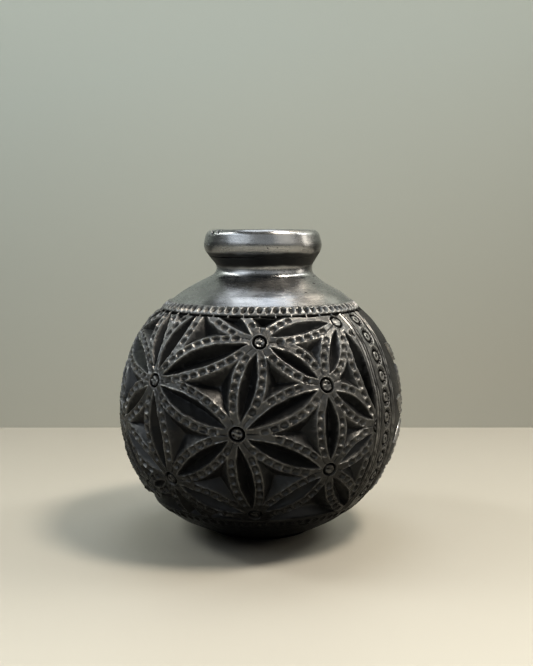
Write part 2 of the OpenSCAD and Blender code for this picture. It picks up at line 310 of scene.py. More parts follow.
class Petal:
    """One lens-shaped V groove between two stars, and the two ribs along it."""

    def __init__(self, a, b, rng):
        self.a = a
        self.length = float(np.linalg.norm(b - a))
        self.along = (b - a) / self.length
        self.normal = wall_normal(*wall_angles((a + b) / 2))
        self.across = np.cross(self.normal, self.along)
        self.across /= np.linalg.norm(self.across)
        self.half_width = PETAL_WIDTH * self.length * rng.uniform(0.92, 1.1)
        self.depth = PETAL_SLOPE * self.half_width * rng.uniform(0.9, 1.15)
        self.valley = rng.uniform(-0.3, 0.3)
        self.rib = RIB_W * rng.uniform(0.92, 1.06)
        self.phase = rng.uniform(0, 1)

    def local(self, p):
        """Distance along the line from the first star, and to the side of it."""
        rel = p - self.a
        return rel @ self.along, rel @ self.across

    def outline(self, s):
        """Half the groove's width at a distance along."""
        x = (s - self.length / 2) / (self.length / 2 - PETAL_TIP)
        return self.half_width * np.clip(1 - x * x, 0, None)


RNG = np.random.default_rng(7)
PETALS = [Petal(a, b, RNG) for a, b in net_links()]


def band_offset(p, band_az):
    """How far to the side of a band's middle plane points are."""
    return p[..., 0] * math.cos(band_az) + p[..., 1] * math.sin(band_az)


def in_panel(p):
    """Distance past the net's upright borders, positive on the bands and the panel between them."""
    front = band_offset(p, BAND_AZ) + BAND_HALF
    back = -band_offset(p, math.pi - BAND_AZ) + BAND_HALF
    inside = np.minimum(front, back)
    return np.where(p[..., 0] > 0, inside, -FAR)


def dent_places():
    """Middles and directions of the dents along the ribs, without those that would collide."""
    places = []
    for petal in PETALS:
        for side in (-1, 1):
            start = PETAL_TIP + DENT_FIRST + petal.phase
            for s in np.arange(start, petal.length - PETAL_TIP - DENT_LAST, DENT_PITCH):
                offset = petal.outline(s) + petal.rib * 0.5
                guess = petal.a + petal.along * s + petal.across * side * offset
                az, lat = wall_angles(guess)
                p = wall_point(az, lat)
                if not NET_BOTTOM + NET_MARGIN < lat < NET_TOP - NET_MARGIN:
                    continue
                if in_panel(p) > -DENT_TO_BAND:
                    continue
                if np.min(np.linalg.norm(ALL_STAR_POINTS - p, axis=1)) < RING_R + DENT_TO_RING:
                    continue
                if any(np.linalg.norm(q[0] - p) < DENT_APART for q in places):
                    continue
                if any(in_groove(other, p) for other in PETALS if other is not petal):
                    continue
                slope = -2 * (s - petal.length / 2) / (petal.length / 2 - PETAL_TIP) ** 2
                direction = petal.along + petal.across * side * slope * petal.half_width
                places.append((p, direction / np.linalg.norm(direction)))
    return places


def in_groove(petal, p):
    """Whether a point is in or beside a petal's groove, and on the groove's side of the pot."""
    s, d = petal.local(p)
    near = p @ petal.normal > petal.a @ petal.normal - 12
    return near and 0 < s < petal.length and abs(d) < petal.outline(s) + DENT_TO_GROOVE


# ---- The carved height of the wall ----

class Patch:
    """A grid over the wall: rows of latitude, columns of azimuth all the way round."""

    def __init__(self, lat0, lat1, step, columns):
        rows = int(round((lat1 - lat0) * ARC_R / step)) + 1
        self.lat = np.linspace(lat0, lat1, rows)
        self.az = np.arange(columns) * TAU / columns
        self.az_grid, self.lat_grid = np.meshgrid(self.az, self.lat)
        self.p = wall_point(self.az_grid, self.lat_grid)
        self.n = wall_normal(self.az_grid, self.lat_grid)
        self.height, self.cut, self.black, self.worn = np.zeros((4, *self.az_grid.shape))

    def window(self, centre, reach):
        """The part of the grid near a point, with its offsets from the point."""
        az, lat = wall_angles(centre)
        r = ARC_OFF + ARC_R * math.cos(lat)
        row0, row1 = np.searchsorted(self.lat, [lat - reach / ARC_R, lat + reach / ARC_R])
        half = int(reach / r / (TAU / len(self.az))) + 1
        middle = int(round((az % TAU) / (TAU / len(self.az))))
        part = np.ix_(np.arange(row0, row1), np.arange(middle - half, middle + half + 1) % len(self.az))
        return part, self.p[part] - centre

    def mark(self, part, **marks):
        """Raises the named fields to at least these values."""
        for name, values in marks.items():
            field = getattr(self, name)
            field[part] = np.maximum(field[part], values)

    def sample(self, field, az, lat):
        """A field's values at other places on the wall."""
        rows = (lat - self.lat[0]) / (self.lat[1] - self.lat[0])
        columns = (az % TAU) / (TAU / len(self.az))
        i = np.clip(np.round(rows).astype(int), 0, len(self.lat) - 1)
        j = np.round(columns).astype(int) % len(self.az)
        return field[i, j]


def cut_petals(patch):
    """The depth of the petals' grooves, and the gaps to the nearest petal, to the next one and to the
    outer edge of the nearest rib, which is negative on a rib."""
    wander = 0.22 * soft_noise(patch.p, 16, 3) + 0.1 * soft_noise(patch.p, 5, 4)
    groove = np.zeros(patch.height.shape)
    nearest, second, rib_edge = (np.full(patch.height.shape, FAR) for _ in range(3))
    for petal in PETALS:
        s, d = petal.local(patch.p)
        d = d + wander
        # Only this side of the pot counts, and no farther off than a pit reaches
        near = (patch.n @ petal.normal > 0.35) & (np.abs(d) < 22) & (s > -14) & (s < petal.length + 14)
        s, d = s[near], d[near]
        width = petal.outline(s)
        valley = petal.valley * width
        to_edge = np.where(d > valley, width - d, width + d)
        run = np.where(d > valley, width - valley, width + valley)
        share = np.clip(to_edge / np.maximum(run, 1e-6), 0, 1)
        depth = petal.depth * (width / petal.half_width) ** 0.8 * share ** 0.85
        groove[near] = np.maximum(groove[near], depth * (width > 0))
        past_end = np.maximum(0, np.maximum(PETAL_TIP - s, s - petal.length + PETAL_TIP))
        gap = np.hypot(np.maximum(np.abs(d) - width, 0), past_end)
        second[near] = np.minimum(second[near], np.maximum(nearest[near], gap))
        nearest[near] = np.minimum(nearest[near], gap)
        rib_edge[near] = np.minimum(rib_edge[near], gap - petal.rib)
    return groove, nearest, second, rib_edge


def carve_net(patch):
    """Cuts petals and pits with burrs along their edges, then presses the dents and rings."""
    p = patch.p
    groove, nearest, second, rib_edge = cut_petals(patch)
    star_gap = np.full(patch.height.shape, FAR)
    for star in ALL_STAR_POINTS:
        star_gap = np.minimum(star_gap, np.linalg.norm(p - star, axis=-1))
    rib_edge = np.minimum(rib_edge, star_gap - STAR_LAND_R)
    border = np.minimum(NET_TOP - patch.lat_grid, patch.lat_grid - NET_BOTTOM) * ARC_R
    border = np.minimum(border, -in_panel(p) - 0.6)
    inside = smooth(0.0, 0.3, border)
    pit = np.clip(np.minimum(rib_edge, border * 2.2), 0, None) * PIT_SLOPE
    pit = PIT_DEEPEST * np.tanh((pit / PIT_DEEPEST) ** PIT_CRISP) ** (1 / PIT_CRISP)
    carved = np.maximum(groove, pit) * inside
    on_rib = smooth(0.12, 0.0, carved) * inside
    burr = bell(nearest - BURR_OFF, BURR_W) * (nearest > 0)
    burr = np.maximum(burr, bell(rib_edge + BURR_OFF, BURR_W) * (rib_edge < 0)) * on_rib
    ragged = np.clip(0.5 + 0.5 * soft_noise(p, 2.6, 5), 0, 1.2)
    seam = bell(second - nearest, 0.34) * smooth(0.9, 1.4, nearest) * on_rib
    seam *= smooth(RING_R + 0.7, RING_R + 1.3, star_gap) * smooth(10, 7, star_gap)
    patch.height -= carved
    patch.height += BURR_H * burr * (0.3 + ragged) - SEAM_DEEP * seam
    patch.height += on_rib * (0.08 * soft_noise(p, 6, 6) + 0.055 * soft_noise(p, 1.9, 8))
    # The seam's scored line is painted dark as painted shade; the burrs are painted bright as wear and a
    # painted highlight.
    patch.mark(..., cut=smooth(0.1, 0.5, carved), black=0.5 * seam, worn=burr * ragged)
    press_dents(patch)
    stamp_rings(patch)


def press_dents(patch):
    """Dents with a pushed-up heel painted bright as a painted highlight, and painted shade on their
    upper side.
    """
    rng = np.random.default_rng(11)
    for centre, direction in dent_places():
        deep = rng.uniform(*DENT_DEEP)
        long_r = rng.uniform(*DENT_LONG)
        wide_r = rng.uniform(*DENT_WIDE)
        glint = rng.uniform(0.1, 1.0)
        heel = 1 if direction[2] < 0 else -1
        part, rel = patch.window(centre, 2.4)
        if not rel.size:
            continue
        side = np.cross(wall_normal(*wall_angles(centre)), direction)
        u = rel @ direction / long_r
        v = rel @ side / wide_r
        rho = (np.abs(u) ** 2.6 + np.abs(v) ** 2.6) ** (1 / 2.6)
        hollow = np.clip(1 - rho ** 3.4, 0, None) ** 0.75
        rim = bell(rho - 1.13, 0.13)
        pushed = bell(u * heel - 1.15, 0.3) * bell(v, 0.75)
        uncut = 1 - patch.cut[part]
        patch.height[part] += uncut * (0.1 * rim + 0.2 * pushed - deep * hollow)
        # Painted shade on the dent's upper side; wear on the rim and a painted highlight on the heel.
        shady = smooth(-0.8, 0.4, (rel[..., 2] + 0.4 * rel @ side * np.sign(side[2])) / 1.2)
        rubbed = np.maximum(0.2 * rim, glint * pushed)
        patch.mark(part, black=0.7 * shady * hollow * uncut, worn=rubbed * uncut)


def stamp_rings(patch):
    """A ring on a smooth disc at every star, with a rough core."""
    rng = np.random.default_rng(12)
    for centre in STAR_POINTS:
        part, rel = patch.window(centre, 4.4)
        if not rel.size:
            continue
        radius = RING_R * rng.uniform(0.96, 1.06)
        az, lat = wall_angles(centre)
        east = np.array([math.cos(az), math.sin(az), 0.0])
        north = np.cross(wall_normal(az, lat), east)
        u, v = rel @ east, rel @ north
        rho = np.hypot(u, v) * (1 + 0.04 * np.sin(2 * np.arctan2(v, u) + rng.uniform(0, TAU)))
        disc = smooth(radius + 1.1, radius + 0.6, rho)
        patch.height[part] = patch.height[part] * (1 - disc)
        for field in (patch.cut, patch.black, patch.worn):
            field[part] *= 1 - disc
        ring = smooth(0.56, 0.32, np.abs(rho - radius))
        rough = soft_noise(patch.p[part], 1.3, 9)
        core = smooth(radius - 0.3, radius - 0.9, rho)
        rim = bell(rho - radius - 0.62, 0.22)
        patch.height[part] += 0.12 * rim - RING_DEEP * ring + core * (0.16 * rough - 0.1)
        # Painted shade in the ring's groove and the core's low spots; wear and a painted highlight on
        # the outer rim and the core's high spots.
        painted_ring_shade = np.maximum(ring, core * (rough < -0.9))
        patch.mark(part, black=painted_ring_shade, worn=0.5 * rim + 0.6 * core * (rough > 0.2))


def carve_borders(patch):
    """The scored line, the seats of the cordons and bands, and the plain wall's unevenness."""
    p, lat = patch.p, patch.lat_grid
    panel = smooth(-0.6, 0.4, in_panel(p))
    plain = np.maximum(panel, (lat < NET_BOTTOM) * 1.0)
    patch.height += plain * (0.09 * soft_noise(p, 22, 13) + 0.03 * soft_noise(p, 7, 14))
    # The band seats and the panel between them are painted dark, as painted shade around the flower
    # relief.
    patch.mark(..., black=panel * (0.66 + 0.05 * soft_noise(p, 17, 18)))
    wavy = (lat - TICK_LINE_LAT) * ARC_R + 0.14 * soft_noise(p, 9, 15)
    tick = np.abs((patch.az_grid * TICKS / TAU + 0.5) % 1 - 0.5) * TAU * TICK_LINE_R / TICKS
    line_cut = smooth(0.85, 0.5, np.abs(wavy)) * smooth(0.14, 0.34, tick + 0.05 * soft_noise(p, 3, 16))
    patch.height -= LINE_DEEP * line_cut
    # Painted shade in the scored line; wear and a painted highlight on the uncut ticks.
    patch.mark(..., black=line_cut, worn=bell(tick, 0.22) * bell(wavy, 0.7))
    for band_az in (BAND_AZ, math.pi - BAND_AZ):
        across = np.abs(band_offset(p, band_az))
        seat = smooth(BAND_HALF + 0.05, BAND_HALF - 0.15, across)
        seat *= patch.n @ wall_normal(band_az, 0) > 0.2
        seat *= (lat < NET_TOP) & (lat > NET_BOTTOM)
        patch.height = patch.height * (1 - seat) - BAND_SEAT * seat
    for middle, foot in ((CORDON_TOP_LAT, CORDON_TOP_FOOT), (CORDON_LOW_LAT, CORDON_LOW_FOOT)):
        v = (lat - middle) * ARC_R
        seat = smooth(CORDON_W / 2 - 0.1, CORDON_W / 2 - 0.35, v) * smooth(foot + 0.1, foot + 0.35, v)
        patch.height = patch.height * (1 - seat) - CORDON_SEAT * seat


def bowl(name, z0, z1, climb0, climb1, material):
    """A carved bowl: the wall between two heights, with bevelled seams that climb towards the inside."""
    patch = Patch(latitude_at(z0), latitude_at(z1), GRID_STEP, GRID_COLUMNS)
    carve_net(patch)
    carve_borders(patch)
    stand = swell(patch.az_grid, patch.lat_grid)
    outside = wall_point(patch.az_grid, patch.lat_grid, patch.height + stand)
    inner_lat0 = math.asin((z0 + climb0 - BELLY_Z) / (ARC_R - WALL))
    inner_lat1 = math.asin((z1 + climb1 - BELLY_Z) / (ARC_R - WALL))
    az, lat = np.meshgrid(patch.az, np.linspace(inner_lat1, inner_lat0, INNER_ROWS))
    inside = wall_point(az, lat, -WALL + 0.12 * soft_noise(wall_point(az, lat), 14, 17))
    points = np.concatenate([outside, inside])
    faces = ring_faces(len(points), len(patch.az))
    mesh = thin_out(new_mesh(name, points.reshape(-1, 3), faces), BOWL_TRIANGLES)
    where = np.empty(len(mesh.vertices) * 3)
    mesh.vertices.foreach_get("co", where)
    where = where.reshape(-1, 3) / MM
    az, lat = wall_angles(where)
    depth = np.linalg.norm(where - wall_point(az, lat), axis=1)
    outer = depth < WALL - 1.0
    for mark in ("cut", "black", "worn"):
        set_attribute(mesh, mark, patch.sample(getattr(patch, mark), az, lat) * outer)
    add_piece(name, mesh, material, [name], 38)


# ---- Turned pieces ----

LIP_R = 5.9
LIP_CENTRE = (19.1, 121.3)
LIP_CORNER_R = 3.4
LIP_CORNER_OUT = (20.9, 124.25)
LIP_CORNER_IN = (17.4, 124.25)
THROAT_R = 3.8
THROAT_CENTRE = (24.0, 111.5)
SHOULDER_LEAN = 31.5
SHOULDER_TOP = (
    THROAT_CENTRE[0] - THROAT_R * math.sin(math.radians(SHOULDER_LEAN)),
    THROAT_CENTRE[1] - THROAT_R * math.cos(math.radians(SHOULDER_LEAN)),
)
SHOULDER_MID = (34.2, 100.8)
SHOULDER_LOW = (38.3, 97.8)
SHOULDER_RIM = (38.95, SHOULDER_SEAM_Z)
MOUTH_R = 14.5
NECK_SEAM_Z = SHOULDER_TOP[1]
LIP_SEAM_Z = 116.3
# The shoulder's inside, from the bore down to its seam
BORE_FOOT = (MOUTH_R, 104.5)
INNER_MID = (31, 94.9)
INNER_LOW = (35.35, 91.69)
# The thrown neck and lip sit a little to one side of their bore, and the shoulder is fuller there
LIP_SHIFT = 1.0
THROAT_SHIFT = 0.8
SHOULDER_FULLER = 1.2
# The band under the lip painted dark as a painted dark reflection: where it fades in and out
DARK_REFLECTION_FOOT = (112.0, 113.2)
DARK_REFLECTION_TOP = (118.6, 117.6)
# Chips in the lip: azimuth in degrees, height, size and depth
LIP_CHIPS = [
    (-60, 126.2, 1.35, 0.7), (-51, 126.8, 0.95, 0.6), (-66, 124.6, 0.55, 0.4),
    (-64, 121.8, 0.5, 0.4), (-47, 127.2, 0.5, 0.35), (118, 126.9, 1.2, 0.4),
]


def arc(centre, radius, start, end, count):
    """Profile points on a circle, with angles in degrees from outward (0) to up (90)."""
    a = np.radians(np.linspace(start, end, count))
    return np.stack([centre[0] + radius * np.cos(a), centre[1] + radius * np.sin(a)], -1)


def spline(corners, count):
    """A smooth curve through profile points."""
    c = np.array(corners, float)
    c = np.vstack([2 * c[0] - c[1], c, 2 * c[-1] - c[-2]])
    out = []
    for i in range(1, len(c) - 2):
        t = np.linspace(0, 1, count, endpoint=False)[:, None]
        out.append(0.5 * (2 * c[i] + (c[i + 1] - c[i - 1]) * t
                          + (2 * c[i - 1] - 5 * c[i] + 4 * c[i + 1] - c[i + 2]) * t ** 2
                          + (3 * c[i] - 3 * c[i + 1] + c[i + 2] - c[i - 1]) * t ** 3))
    return np.vstack(out + [c[-2:-1]])


def line(a, b, count):
    """Profile points between two corners, both left out."""
    t = np.linspace(0, 1, count + 2)[1:-1, None]
    return np.array(a) * (1 - t) + np.array(b) * t


def chain(corners, counts):
    """Profile points on straight runs through corners, both ends left out."""
    runs = [np.vstack([line(a, b, count), [b]]) for a, b, count in zip(corners, corners[1:], counts)]
    return np.vstack(runs)[:-1]


def hand_turned(p):
    """How far a hand-turned surface wanders from true."""
    stretched = p * np.array([0.22, 0.22, 1.0])
    wave = 0.13 * soft_noise(p, 34, 21) + 0.04 * soft_noise(p, 9, 23)
    return wave + 0.01 * soft_noise(stretched, 4.2, 22) - 0.12


def turned(name, outside, inside, material, chips=()):
    """A ring turned from a closed profile, uneven on the outside, with chips in it."""
    profile = np.vstack([outside, inside])
    az = np.arange(TURNED_COLUMNS) * TAU / TURNED_COLUMNS
    r = profile[:, :1] + 0 * az
    z = profile[:, 1:] + 0 * az
    step = np.roll(profile, -1, axis=0) - np.roll(profile, 1, axis=0)
    normal = np.stack([step[:, 1], -step[:, 0]], -1)
    normal /= np.linalg.norm(normal, axis=1)[:, None]
    p = round_point(r, az, z)
    fade = np.zeros((len(profile), 1))
    fade[:len(outside)] = 1
    move = hand_turned(p) * fade
    chipped = np.zeros(p.shape[:2])
    for chip_az, chip_z, size, deep in chips:
        gap = np.linalg.norm(p - chip_centre(outside, math.radians(chip_az), chip_z), axis=-1)
        gap = gap * (1 + 0.3 * soft_noise(p, 1.3, 24))
        gone = smooth(size, size * 0.6, gap) * fade
        chipped = np.maximum(chipped, gone)
        move -= deep * gone
    r = r + move * normal[:, :1]
    z = z + move * normal[:, 1:]
    points = round_point(r, az, z)
    shift = LIP_SHIFT * smooth(103, 109, z) + THROAT_SHIFT * bell(z - THROAT_CENTRE[1], 4.5)
    shift = shift + SHOULDER_FULLER * bell(z - 101.5, 3.5) * smooth(0, 25, points[..., 0])
    points[..., 0] += shift * smooth(MOUTH_R, MOUTH_R + 4, r)
    wavy = z + 0.35 * soft_noise(p, 26, 25) + 0.12 * soft_noise(p, 4, 26)
    # The band under the lip is painted dark as a painted dark reflection; the chips are dull clay.
    painted_dark_reflection = smooth(*DARK_REFLECTION_FOOT, wavy) * smooth(*DARK_REFLECTION_TOP, wavy) * fade
    mesh = new_mesh(name, points.reshape(-1, 3), ring_faces(len(profile), TURNED_COLUMNS))
    set_attribute(mesh, "black", np.maximum(chipped, 0.86 * painted_dark_reflection).ravel())
    add_piece(name, mesh, material, [name], 50)


def chip_centre(outside, az, z):
    """The point of an outside profile that is nearest to a height, at an azimuth."""
    r, z = outside[np.argmin(np.abs(outside[:, 1] - z) + 100 * (outside[:, 0] < LIP_CENTRE[0]))]
    return round_point(r, az, z)


def touch_angle(centre, reach, turn):
    """Direction square to the straight run between the lip's coil and another arc."""
    x, y = centre[0] - LIP_CENTRE[0], centre[1] - LIP_CENTRE[1]
    return math.degrees(math.atan2(y, x) + turn * math.acos(reach / math.hypot(x, y)))


def turned_pieces(material):
    """The shoulder, the neck and the lip, each from the outside of its profile and then the inside."""
    upper = line(SHOULDER_MID, SHOULDER_TOP, 3)
    shoulder = spline([SHOULDER_RIM, SHOULDER_LOW, SHOULDER_MID, *upper, SHOULDER_TOP], 14)
    neck_foot, neck_top = (MOUTH_R, NECK_SEAM_Z), (MOUTH_R, LIP_SEAM_Z)
    shoulder_corners = [SHOULDER_TOP, neck_foot, BORE_FOOT, INNER_MID, INNER_LOW, SHOULDER_RIM]
    turned("shoulder", shoulder, chain(shoulder_corners, [4, 1, 10, 3, 3]), material)

    flank = touch_angle(THROAT_CENTRE, LIP_R + THROAT_R, 1)
    flank_top = arc(LIP_CENTRE, LIP_R, flank, flank, 1)[0]
    flank_foot = arc(THROAT_CENTRE, -THROAT_R, flank, flank, 1)[0]
    share = (LIP_SEAM_Z - flank_foot[1]) / (flank_top[1] - flank_foot[1])
    seam = flank_foot * (1 - share) + flank_top * share
    throat = arc(THROAT_CENTRE, THROAT_R, 270 - SHOULDER_LEAN, 180 + flank, 46)
    neck = np.vstack([throat, line(flank_foot, seam, 3), [seam]])
    turned("neck", neck, chain([seam, neck_top, neck_foot, SHOULDER_TOP], [4, 8, 4]), material)

    side = touch_angle(LIP_CORNER_OUT, LIP_R - LIP_CORNER_R, -1)
    side_foot = arc(LIP_CENTRE, LIP_R, side, side, 1)[0]
    side_top = arc(LIP_CORNER_OUT, LIP_CORNER_R, side, side, 1)[0]
    rim_out = (LIP_CORNER_OUT[0], LIP_CORNER_OUT[1] + LIP_CORNER_R)
    rim_in = (LIP_CORNER_IN[0], LIP_CORNER_IN[1] + LIP_CORNER_R)
    bore = 180 - math.degrees(math.acos((LIP_CORNER_IN[0] - MOUTH_R) / LIP_CORNER_R))
    lip = np.vstack([
        [seam], line(seam, flank_top, 3), arc(LIP_CENTRE, LIP_R, flank, side, 30),
        line(side_foot, side_top, 6), arc(LIP_CORNER_OUT, LIP_CORNER_R, side, 90, 26),
        line(rim_out, rim_in, 6), arc(LIP_CORNER_IN, LIP_CORNER_R, 90, bore, 16),
    ])
    turned("lip", lip, chain([lip[-1], neck_top, lip[0]], [8, 4]), material, LIP_CHIPS)


# ---- Cordons ----

def cordon(name, middle_lat, foot, dent_shape, material):
    """A strip round the pot with a row of dents. Its foot is its lower edge."""
    dents, long_r, wide_r, depth, slant = dent_shape
    columns = dents * DENT_COLUMNS
    az = np.arange(columns) * TAU / columns
    across = np.linspace(-1, 1, CORDON_ROWS)
    crown = CORDON_PROUD - 0.1 - 0.55 * np.abs(across) ** 5
    middle = (CORDON_W / 2 + foot) / 2
    v = middle + across[:, None] * (CORDON_W / 2 - middle) + 0 * az
    height = crown[:, None] + 0 * az
    lat = middle_lat + v / ARC_R
    az = az + 0 * v
    p = wall_point(az, lat, height)
    radius = ARC_OFF + ARC_R * math.cos(middle_lat)
    rng = np.random.default_rng(31)
    jitter = rng.normal(0, 0.05, dents)
    deep = rng.uniform(0.75, 1.15, dents)
    place = az * dents / TAU
    black = np.zeros(height.shape)
    for shift in (-1, 0, 1):
        number = np.round(place).astype(int) + shift
        u = (place - number - jitter[number % dents]) * TAU * radius / dents
        u = u - slant * v
        taper = 1 + 0.25 * v / long_r
        rho = (np.abs(u / (wide_r * taper)) ** 2.4 + np.abs(v / long_r) ** 2.4) ** (1 / 2.4)
        upper = np.clip(v / long_r, -1, 1)
        hollow = np.clip(1 - rho ** 2.2, 0, None) ** 0.8
        height = height - depth * deep[number % dents] * (1 + 0.5 * upper) * hollow
        # Painted shade on each dent's upper side.
        black = np.maximum(black, hollow * smooth(-0.9, 0.1, upper - 0.5 * u / wide_r))
        height = height + 0.08 * bell(rho - 1.15, 0.15)
    height += 0.04 * soft_noise(p, 2.2, 32) + 0.06 * soft_noise(p, 9, 33)
    stand = swell(az, lat)
    outside = wall_point(az, lat, height + stand)
    back = wall_point(az[::-6], lat[::-6], stand[::-6] - CORDON_T)
    points = np.concatenate([outside, back])
    mesh = new_mesh(name, points.reshape(-1, 3), ring_faces(len(points), columns))
    set_attribute(mesh, "black", np.concatenate([black, np.zeros(back.shape[:2])]).ravel())
    add_piece(name, mesh, material, [name], 50)


# ---- Rosette bands ----

ROSETTES = 10
ROSETTE_TOP = math.radians(42.9)
ROSETTE_STEP = math.radians(8.6)
ROSETTE_R = 2.2
BAND_T = 1.5
# Two ridges and two grooves along each side: place from the middle, width, and height or depth
BAND_RIDGES = ((7.2, 0.34, 1.0), (5.6, 0.3, 0.8))
BAND_GROOVES = ((6.4, 0.36, 0.8), (4.8, 0.36, 0.75))
RIDGE_H = 0.38


def band_point(band_az, x, lat, height):
    """A point of a band, x to the side of its middle plane and that high off the wall."""
    r = ARC_OFF + (ARC_R + height) * np.cos(lat)
    out = np.sqrt(r * r - x * x)
    z = BELLY_Z + (ARC_R + height) * np.sin(lat)
    c, s = math.cos(band_az), math.sin(band_az)
    return np.stack([x * c + out * s, x * s - out * c, z + 0 * x], -1)


def rosette_band(name, band_az, flip, seed, material):
    """An upright strip with ridges and a column of rosettes: a ring, teeth on one side and a pip."""
    half = BAND_HALF - 0.1
    columns, rows = BAND_GRID
    x, lat = np.meshgrid(np.linspace(-half, half, columns), np.linspace(NET_BOTTOM, NET_TOP, rows))
    p = band_point(band_az, x, lat, 0.0)
    wander = 0.18 * soft_noise(p, 18, seed)
    side = np.abs(x + wander)
    height = 0.05 + 0.05 * soft_noise(p, 4, seed + 1) + 0.025 * soft_noise(p, 1.4, seed + 2)
    ridge = sum(share * bell(side - place, width) for place, width, share in BAND_RIDGES)
    height += RIDGE_H * ridge
    height -= sum(deep * bell(side - place, width) for place, width, deep in BAND_GROOVES)
    # Painted shade in the grooves; wear and a painted highlight on the ridges.
    black = np.minimum(sum(1.3 * bell(side - groove[0], 0.45) for groove in BAND_GROOVES), 1)
    worn = ridge * np.clip(1.1 + 0.8 * soft_noise(p, 3, seed + 3), 0, 1.8)
    rng = np.random.default_rng(seed)
    for i in range(ROSETTES):
        middle = ROSETTE_TOP - i * ROSETTE_STEP
        u = (x - rng.normal(0, 0.2)) * flip
        v = (lat - middle) * ARC_R - rng.normal(0, 0.15)
        rho = np.hypot(u, v * 0.92)
        angle = np.arctan2(v, u)
        ring = smooth(0.62, 0.32, np.abs(rho - ROSETTE_R))
        teeth = smooth(0.1, 0.45, np.cos(angle * 14) - 0.25) * smooth(3.6, 3.2, rho) * (rho > 2.1)
        teeth *= (np.abs(angle) < 1.9)
        pip = smooth(0.65, 0.35, rho)
        cut = np.maximum(np.maximum(ring * 0.6, teeth * 0.4), pip * 0.5)
        stamped = height * smooth(2.0, 4.2, rho) + 0.14 * bell(rho - 1.2, 0.8) - 1.2 * cut
        height = np.where(rho < 4.2, stamped, height)
        edge = bell(rho - 3.9, 0.26) * (np.abs(angle) < 2.1)
        height += 0.16 * edge
        # Wear and a painted highlight on the rosette's raised middle and edge; painted shade in its
        # ring, teeth and pip.
        worn = np.maximum(worn, np.maximum(0.9 * bell(rho - 1.25, 0.35), 0.8 * edge))
        black = np.maximum(black, np.maximum(ring, np.maximum(teeth, pip)))
    stand = swell(*wall_angles(p))
    top = band_point(band_az, x, lat, height + stand)
    mesh = slab_mesh(name, top, band_point(band_az, x, lat, stand - BAND_T))
    for mark, values in (("black", black), ("worn", worn)):
        set_attribute(mesh, mark, np.concatenate([values.ravel(), np.zeros(values.size)]))
    add_piece(name, mesh, material, [name], 50)


# ---- The flower on the side panel ----

FLOWER_Z = 50.0
FLOWER_R = 24.0
BOSS_R = 5.0
PETAL_W = 8.0
LEAF_L = 15.0
LEAF_W = 6.0
RELIEF = 1.1
PAD_T = 0.7
PAD_GAP = 0.1
POINT = 0.12  # half the width of a pad where it comes to a point
PETALS_ROUND = 8
LEAF_LEAN = math.radians(34)


def on_panel(across, up, height):
    """A point off the wall, seen along +X at that place across (+Y) and up from the flower's middle."""
    z = FLOWER_Z + up
    r = ARC_OFF + np.sqrt(ARC_R ** 2 - (z - BELLY_Z) ** 2)
    x = np.sqrt(r * r - across * across)
    az, lat = wall_angles(np.stack([x, across, z], -1))
    return wall_point(az, lat, height)


def pad(name, start, angle, length, half_width, height, material):
    """A domed relief pad: a grid along its straight middle line and out to its edges."""
    rows, columns = PAD_GRID
    along, side = np.meshgrid(np.linspace(0, 1, rows), np.linspace(-1, 1, columns), indexing="ij")
    direction = np.array([math.cos(angle), math.sin(angle)])
    normal = np.array([-direction[1], direction[0]])
    spot = np.array(start) + along[..., None] * length * direction
    spot = spot + normal * (half_width(along) * side)[..., None]
    p = on_panel(spot[..., 0], spot[..., 1], 0.0)
    dome = np.sqrt(np.clip(1 - side ** 4, 0, 1)) * smooth(0, 0.06, along) * smooth(1, 0.94, along)
    lift = height(along, side, p) * dome
    stand = swell(*wall_angles(p))
    top = on_panel(spot[..., 0], spot[..., 1], lift + stand)
    bottom = on_panel(spot[..., 0], spot[..., 1], stand - PAD_T)
    add_piece(name, slab_mesh(name, top, bottom), material, [name], 60)


def lens(half):
    """Half the width of a leaf shape that comes to a point at both ends."""
    return lambda along: np.maximum(half * (1 - (2 * along - 1) ** 2), POINT)


def stippled(beads, seed):
    """A petal's relief: a raised beaded rim, a hollow face and a vein."""
    def height(along, side, p):
        rim = bell(np.abs(side) - 0.74, 0.24)
        bead = 0.5 + 0.5 * np.cos(along * TAU * beads)
        face = 0.62 - 0.18 * bell(side, 0.5) - 0.28 * bell(side, 0.1) * smooth(0.06, 0.2, along)
        rough = 0.06 * soft_noise(p, 1.7, seed) + 0.03 * soft_noise(p, 0.9, seed + 1)
        return np.clip(face + rim * (0.12 + 0.34 * bead) + rough, 0, RELIEF)
    return height


def round_shape(half):
    """Half the width of a round shape."""
    return lambda along: np.maximum(half * np.sqrt(np.clip(1 - (2 * along - 1) ** 2, 0, 1)), POINT)


def boss_relief(along, side, p):
    """The boss's relief: a button inside a groove and a ring of beads."""
    middle = on_panel(np.array(0.0), np.array(0.0), 0.0)
    gap = np.linalg.norm(p - middle, axis=-1)
    angle = np.arctan2(p[..., 2] - FLOWER_Z, p[..., 1])
    beads = 0.5 + 0.5 * np.cos(angle * 12)
    ring = bell(gap - 3.7, 0.7)
    button = 0.6 + 0.35 * bell(gap, 2.0)
    return np.clip(button + ring * 0.4 * beads - 0.4 * bell(gap - 2.5, 0.35), 0, RELIEF)


